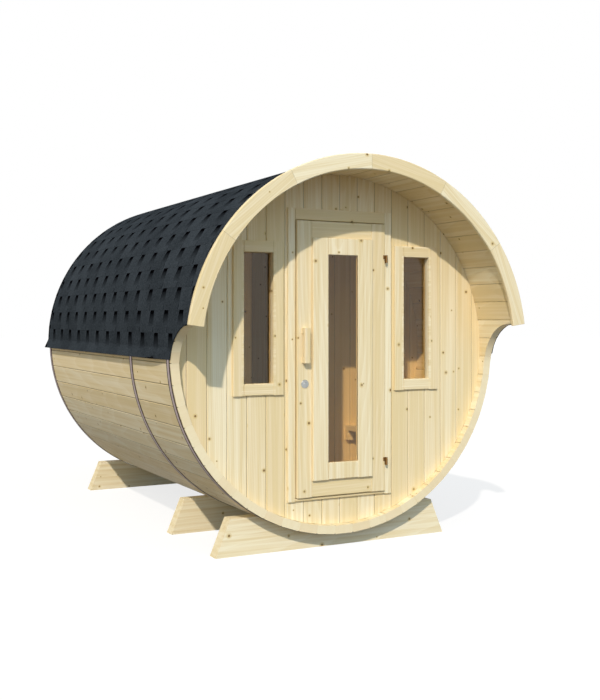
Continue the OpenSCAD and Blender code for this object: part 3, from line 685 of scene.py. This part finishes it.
class ShingleMesh:
    """A mesh of closed shingle pieces, with a painted shadow and a tone for each point."""

    def __init__(self, path, side):
        self.path = path
        self.side = side
        self.mesh = bmesh.new()
        self.band = self.mesh.verts.layers.float.new("shadow_band")
        self.tone = self.mesh.verts.layers.float.new("own_tone")

    def strip(self, rows, tone=0.5):
        """Adds one closed piece. rows hold (s, y0, y1, under, over, band): the length above the
        eave, both ends along Y, the lifts of its two faces and its painted shadow."""
        rows = [(s, max(y0, porch_front(self.path.at(s, over, y0).y)), y1, under, over, band)
                for s, y0, y1, under, over, band in rows]
        rows = [row for row in rows if row[2] - row[1] >= LEAST_WIDTH]
        if len(rows) < 2:
            return
        folds = [y for y in KICK_FOLDS if all(row[1] < y < row[2] for row in rows)]
        rings = []
        for s, y0, y1, under, over, band in rows:
            places = [y0, *folds, y1]
            ring = []
            for lift, y in [(under, y) for y in places] + [(over, y) for y in places[::-1]]:
                point = self.path.at(s, lift, y)
                vertex = self.mesh.verts.new((self.side * point.x, y, AXIS_Z + point.y))
                vertex[self.band] = band
                vertex[self.tone] = tone
                ring.append(vertex)
            rings.append(ring)
        for lower, upper in zip(rings, rings[1:]):
            for i in range(len(lower)):
                j = (i + 1) % len(lower)
                self.mesh.faces.new((lower[i], lower[j], upper[j], upper[i]))
        self.mesh.faces.new(rings[0][::-1])
        self.mesh.faces.new(rings[-1])

    def piece(self, context, name, material):
        """Makes the object, which rides on the sauna."""
        bmesh.ops.recalc_face_normals(self.mesh, faces=self.mesh.faces)
        data = bpy.data.meshes.new(name)
        self.mesh.to_mesh(data)
        self.mesh.free()
        data.materials.append(material)
        piece = bpy.data.objects.new(name, data)
        context.scene.collection.objects.link(piece)
        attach(piece, "sauna")
        return piece


def slot_ends(sizes, f):
    """Front and rear end of a slot from its middle, at a share of the course's height: a slot
    under the next course, which widens to the front, and a slit below it."""
    half = sizes.slot / 2
    if f < sizes.slot_foot:
        return -half - sizes.slant, -half - sizes.slant + sizes.slit
    return -half - sizes.slant * (1 - f) / (1 - sizes.slot_foot), half


def slot_shade(sizes, f):
    """Painted shade of what shows in a slot, at a share of the course's height: a black painted shadow
    of the next course, fading downwards, partly a printed dark band, and painted shade again in the slit."""
    if f > PAINTED_SHADOW_FROM:
        return 1.0
    if f < sizes.slot_foot - SLIT_GAP:
        return SLIT_PAINTED_SHADE
    return SLOT_PAINTED_SHADE * max(0.0, (f - sizes.slot_foot) / (PAINTED_SHADOW_FROM - sizes.slot_foot))


def tab_rows(sizes, low, high, y0, y1, is_first):
    """Rows of one tab from its lower edge, between two slots, to its head under the next course."""
    t = sizes.thickness
    rows = []
    foot = sizes.slot_foot
    shares = [foot * i / SLIT_ROWS for i in range(SLIT_ROWS)] + [foot - 0.001]
    upper = TAB_ROWS - SLIT_ROWS
    shares += [foot + (1 - foot) * i / upper for i in range(upper + 1)]
    for f in shares:
        s = low + f * (high - low)
        front, rear = slot_ends(sizes, f)
        if is_first and s < sizes.starter:
            front = rear = (front + rear) / 2
        under = sizes.underlay + t * (1 - f)
        rows.append((s, y0 + rear, y1 + front, under, under + t, 0.0))
    for i in range(1, HEAD_ROWS + 1):
        f = i / HEAD_ROWS
        over = sizes.underlay + t * (1 - 0.9 * f)
        shade = slot_shade(sizes, f)
        rows.append((high + f * sizes.exposure, y0, y1, sizes.underlay, over - 0.05 * t, shade))
    return rows


def cap_piece(mesh, sizes, low_y, high_y, lifts, tone):
    """One shingle bent over the ridge; lifts are those of its front and rear ends."""
    half = sizes.cap_half / mesh.path.base
    t = sizes.thickness
    rings = []
    for y, lift in ((low_y, lifts[0]), (high_y, lifts[1])):
        for r in (mesh.path.base + lift, mesh.path.base + lift + t):
            ring = []
            for i in range(CAP_FLATS + 1):
                angle = math.pi / 2 + half * (1 - 2 * i / CAP_FLATS)
                vertex = mesh.mesh.verts.new((r * math.cos(angle), y, AXIS_Z + r * math.sin(angle)))
                vertex[mesh.tone] = tone
                ring.append(vertex)
            rings.append(ring)
    front_low, front_high, rear_low, rear_high = rings
    loops = ((front_low, front_high), (front_high, rear_high), (rear_high, rear_low), (rear_low, front_low))
    for one, two in loops:
        for i in range(CAP_FLATS):
            mesh.mesh.faces.new((one[i], one[i + 1], two[i + 1], two[i]))
    for i in (0, CAP_FLATS):
        mesh.mesh.faces.new((front_low[i], front_high[i], rear_high[i], rear_low[i]))


class SAUNA_OT_shingles(bpy.types.Operator):
    """Courses of slotted shingles on both halves of the roof, and a cap on its ridge"""

    bl_idname = "sauna.shingles"
    bl_label = "Shingles"

    def execute(self, context):
        sizes = context.scene.sauna_shingles
        material = bitumen_shingle(sizes)
        path = RoofPath()
        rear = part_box("roof_left")[1].y
        count = math.ceil((path.length - sizes.first) / sizes.exposure)
        top = sizes.first + sizes.exposure
        for name, side in (("left", -1), ("right", 1)):
            mesh = ShingleMesh(path, side)
            levels = [path.length * i / UNDERLAY_ROWS for i in range(UNDERLAY_ROWS + 1)]
            mesh.strip([(s, PORCH_Y, rear, 0.0, sizes.underlay, slot_shade(sizes, min(1.0, s / top)))
                        for s in levels])
            for n in range(count):
                low = sizes.first + n * sizes.exposure if n else 0.0
                high = sizes.first + (n + 1) * sizes.exposure
                y = WALL_Y + sizes.slot_y + (0.5 * sizes.pitch if n % 2 else 0.0)
                y -= math.ceil((y - PORCH_Y) / sizes.pitch) * sizes.pitch
                number = 0
                while y < rear:
                    rows = tab_rows(sizes, low, high, y, min(y + sizes.pitch, rear), n == 0)
                    rows = [row for row in rows if row[0] <= path.length]
                    mesh.strip(rows, (7 * n + 4 * number) % 11 / 10)
                    y += sizes.pitch
                    number += 1
            piece = mesh.piece(context, f"{name}_shingles", material)
            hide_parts(f"roof_{name}")

        cap = ShingleMesh(path, 1)
        low_lift = sizes.underlay + 2 * sizes.thickness
        y = PORCH_Y + SEAT
        number = 0
        while y < rear - sizes.pitch / 4:
            end = min(y + 1.15 * sizes.pitch, rear)
            cap_piece(cap, sizes, y, end, (low_lift, low_lift + 1.1 * sizes.thickness), 5 * number % 7 / 6)
            y += sizes.pitch
            number += 1
        cap.piece(context, "ridge_cap", material)
        return {"FINISHED"}


def seen_rays(tree):
    """One for what the camera sees, straight on or through glass or in a mirror, and nought for
    the light that falls on the sauna."""
    path = tree.nodes.new("ShaderNodeLightPath")
    seen = path.outputs["Is Camera Ray"]
    for name in ("Is Glossy Ray", "Is Transmission Ray"):
        seen = add_node(tree, "ShaderNodeMath", {0: seen, 1: path.outputs[name]}, operation="MAXIMUM")
    return seen


class SAUNA_OT_stage(bpy.types.Operator):
    """Camera, key lamp, soft light and floor"""

    bl_idname = "sauna.stage"
    bl_label = "Stage"

    def execute(self, context):
        sizes = context.scene.sauna_stage
        scene = context.scene
        scene.view_settings.view_transform = "Standard"

        lens = bpy.data.cameras.new("camera")
        lens.sensor_fit = "VERTICAL"
        lens.sensor_height = 36.0
        lens.lens = sizes.focal_px * lens.sensor_height / sizes.image_h
        lens.shift_y = (sizes.horizon_px - sizes.image_h / 2) / sizes.image_h
        lens.clip_end = 200.0
        camera = bpy.data.objects.new("camera", lens)
        camera.location = Vector(sizes.camera_place) + Vector((0.0, WALL_Y, 0.0))
        camera.rotation_euler = (math.pi / 2, 0.0, -sizes.turn)
        scene.collection.objects.link(camera)
        scene.camera = camera

        lamp = bpy.data.lights.new("key", "SUN")
        lamp.energy = sizes.sun
        lamp.angle = sizes.sun_angle
        lamp.color = sizes.sun_colour
        key = bpy.data.objects.new("key", lamp)
        key.rotation_euler = Vector(sizes.sun_way).to_track_quat("-Z", "Y").to_euler()
        scene.collection.objects.link(key)

        world = bpy.data.worlds.new("studio")
        scene.world = world
        world.use_nodes = True
        tree = world.node_tree
        tree.nodes.clear()
        seen = seen_rays(tree)
        # The left and the front light are full from their own way and fade out across it
        way = add_node(tree, "ShaderNodeTexCoord", out="Generated")
        ways = add_node(tree, "ShaderNodeSeparateXYZ", {0: way}).node
        light = tuple(sizes.fill)
        for axis, colour in (("X", sizes.left_fill), ("Y", sizes.front_fill)):
            share = add_node(tree, "ShaderNodeMapRange", {0: ways.outputs[axis], 1: 0.2, 2: -0.8})
            light = add_node(tree, "ShaderNodeVectorMath", {0: share, 1: tuple(colour), 2: light},
                             operation="MULTIPLY_ADD")
        fill = add_node(tree, "ShaderNodeBackground", {"Color": light, "Strength": 1.0})
        white = add_node(tree, "ShaderNodeBackground", {"Color": (1.0, 1.0, 1.0, 1.0), "Strength": 1.0})
        both = add_node(tree, "ShaderNodeMixShader", {0: seen, 1: fill, 2: white})
        add_node(tree, "ShaderNodeOutputWorld", {"Surface": both})

        mesh = bmesh.new()
        bmesh.ops.create_circle(mesh, cap_ends=True, segments=128, radius=sizes.floor_r)
        data = bpy.data.meshes.new("floor")
        mesh.to_mesh(data)
        mesh.free()
        floor = bpy.data.objects.new("floor", data)
        scene.collection.objects.link(floor)
        paint = new_material("pale studio floor")
        tree = paint.node_tree
        cast = add_node(tree, "ShaderNodeBsdfDiffuse", {"Color": linear(sizes.floor)})
        glow = add_node(tree, "ShaderNodeEmission", {"Strength": sizes.floor_glow})
        shade = add_node(tree, "ShaderNodeBsdfDiffuse", {"Color": linear(sizes.floor_shade)})
        shown = add_node(tree, "ShaderNodeAddShader", {0: glow, 1: shade})
        both = add_node(tree, "ShaderNodeMixShader", {0: seen_rays(tree), 1: cast, 2: shown})
        add_node(tree, "ShaderNodeOutputMaterial", {"Surface": both})
        data.materials.append(paint)
        return {"FINISHED"}


class SAUNA_PT_panel(bpy.types.Panel):
    """Lists the pieces of the sauna"""

    bl_idname = "SAUNA_PT_panel"
    bl_label = "Barrel sauna"
    bl_space_type = "VIEW_3D"
    bl_region_type = "UI"
    bl_category = "Sauna"

    def draw(self, context):
        for operator in OPERATORS:
            self.layout.operator(operator.bl_idname)


OPERATORS = (
    SAUNA_OT_stage,
    SAUNA_OT_barrel,
    SAUNA_OT_walls,
    SAUNA_OT_joinery,
    SAUNA_OT_glass,
    SAUNA_OT_metal,
    SAUNA_OT_shingles,
)
GROUPS = (WoodSizes, ShingleSizes, TrimSizes, StageSizes)


def register():
    """Registers the classes and hangs the sizes on the scene."""
    for item in (*GROUPS, *OPERATORS, SAUNA_PT_panel):
        bpy.utils.register_class(item)
    bpy.types.Scene.sauna_wood = PointerProperty(type=WoodSizes)
    bpy.types.Scene.sauna_shingles = PointerProperty(type=ShingleSizes)
    bpy.types.Scene.sauna_trim = PointerProperty(type=TrimSizes)
    bpy.types.Scene.sauna_stage = PointerProperty(type=StageSizes)


def unregister():
    """Takes the sizes off the scene and unregisters the classes."""
    del bpy.types.Scene.sauna_stage
    del bpy.types.Scene.sauna_trim
    del bpy.types.Scene.sauna_shingles
    del bpy.types.Scene.sauna_wood
    for item in reversed((*GROUPS, *OPERATORS, SAUNA_PT_panel)):
        bpy.utils.unregister_class(item)


def main():
    """Builds every piece."""
    register()
    for operator in OPERATORS:
        area, name = operator.bl_idname.split(".")
        getattr(getattr(bpy.ops, area), name)()


if __name__ == "__main__":
    main()
